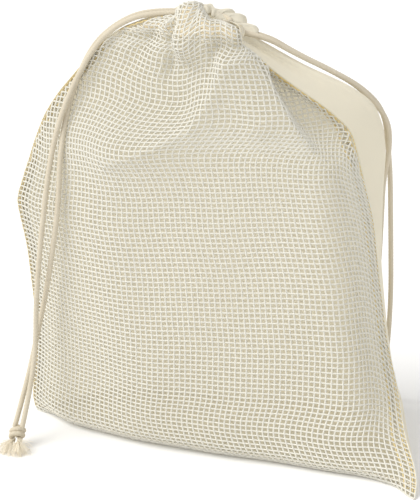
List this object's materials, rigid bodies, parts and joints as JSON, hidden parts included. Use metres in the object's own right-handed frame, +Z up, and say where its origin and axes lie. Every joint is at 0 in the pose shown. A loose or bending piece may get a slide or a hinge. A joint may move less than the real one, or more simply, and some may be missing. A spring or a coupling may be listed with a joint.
{
  "type": "drawstring laundry bag",
  "caption": "Standing drawstring laundry bag with an open net front, a plain cotton back and a gathered neck, closed by cords knotted in pairs on both sides.",
  "frame": {"origin": "centre of the bag's footprint on the floor, its cords left out", "axes": "+Z up, -Y towards the net front, +X towards the bag's right-hand side"},
  "size_m": [0.329, 0.1939, 0.351],
  "materials": {
    "mesh_cotton": "matte",
    "plain_cotton": "matte",
    "thread": "matte",
    "cord_cotton": "matte"
  },
  "bodies": {
    "bag": {"front_mesh_panel": "mesh_cotton", "back_panel": "plain_cotton", "left_side_seam": "plain_cotton", "right_side_seam": "plain_cotton", "bottom_seam": "plain_cotton", "front_casing": "mesh_cotton", "back_casing": "plain_cotton", "front_casing_stitching": "thread", "back_casing_stitching": "thread", "left_bar_tacks": "thread", "right_bar_tacks": "thread", "left_cord_channel_run": "cord_cotton", "right_cord_channel_run": "cord_cotton"},
    "left_cord": {"left_cord_front_strand": "cord_cotton", "left_cord_rear_strand": "cord_cotton"},
    "left_tail": {"left_tail_front_strand": "cord_cotton", "left_tail_rear_strand": "cord_cotton", "left_knot": "cord_cotton", "left_front_tassel": "cord_cotton", "left_rear_tassel": "cord_cotton"},
    "right_cord": {"right_cord_front_strand": "cord_cotton", "right_cord_rear_strand": "cord_cotton"},
    "right_tail": {"right_tail_front_strand": "cord_cotton", "right_tail_rear_strand": "cord_cotton", "right_knot": "cord_cotton", "right_front_tassel": "cord_cotton", "right_rear_tassel": "cord_cotton"}
  },
  "joints": [
    {"name": "left_cord_pull", "type": "slide", "parent": "bag", "child": "left_cord", "axis": [-1, 0, 0], "range_m": [0, 0.012]},
    {"name": "left_tail_swing", "type": "hinge", "parent": "left_cord", "child": "left_tail", "pos_m": [-0.108, 0.012, 0.293], "axis": [0, 1, 0], "range_deg": [0, 70]},
    {"name": "right_cord_pull", "type": "slide", "parent": "bag", "child": "right_cord", "axis": [1, 0, 0], "range_m": [0, 0.012]},
    {"name": "right_tail_swing", "type": "hinge", "parent": "right_cord", "child": "right_tail", "pos_m": [0.119, 0.046, 0.2765], "axis": [0, -1, 0], "range_deg": [0, 70]}
  ]
}
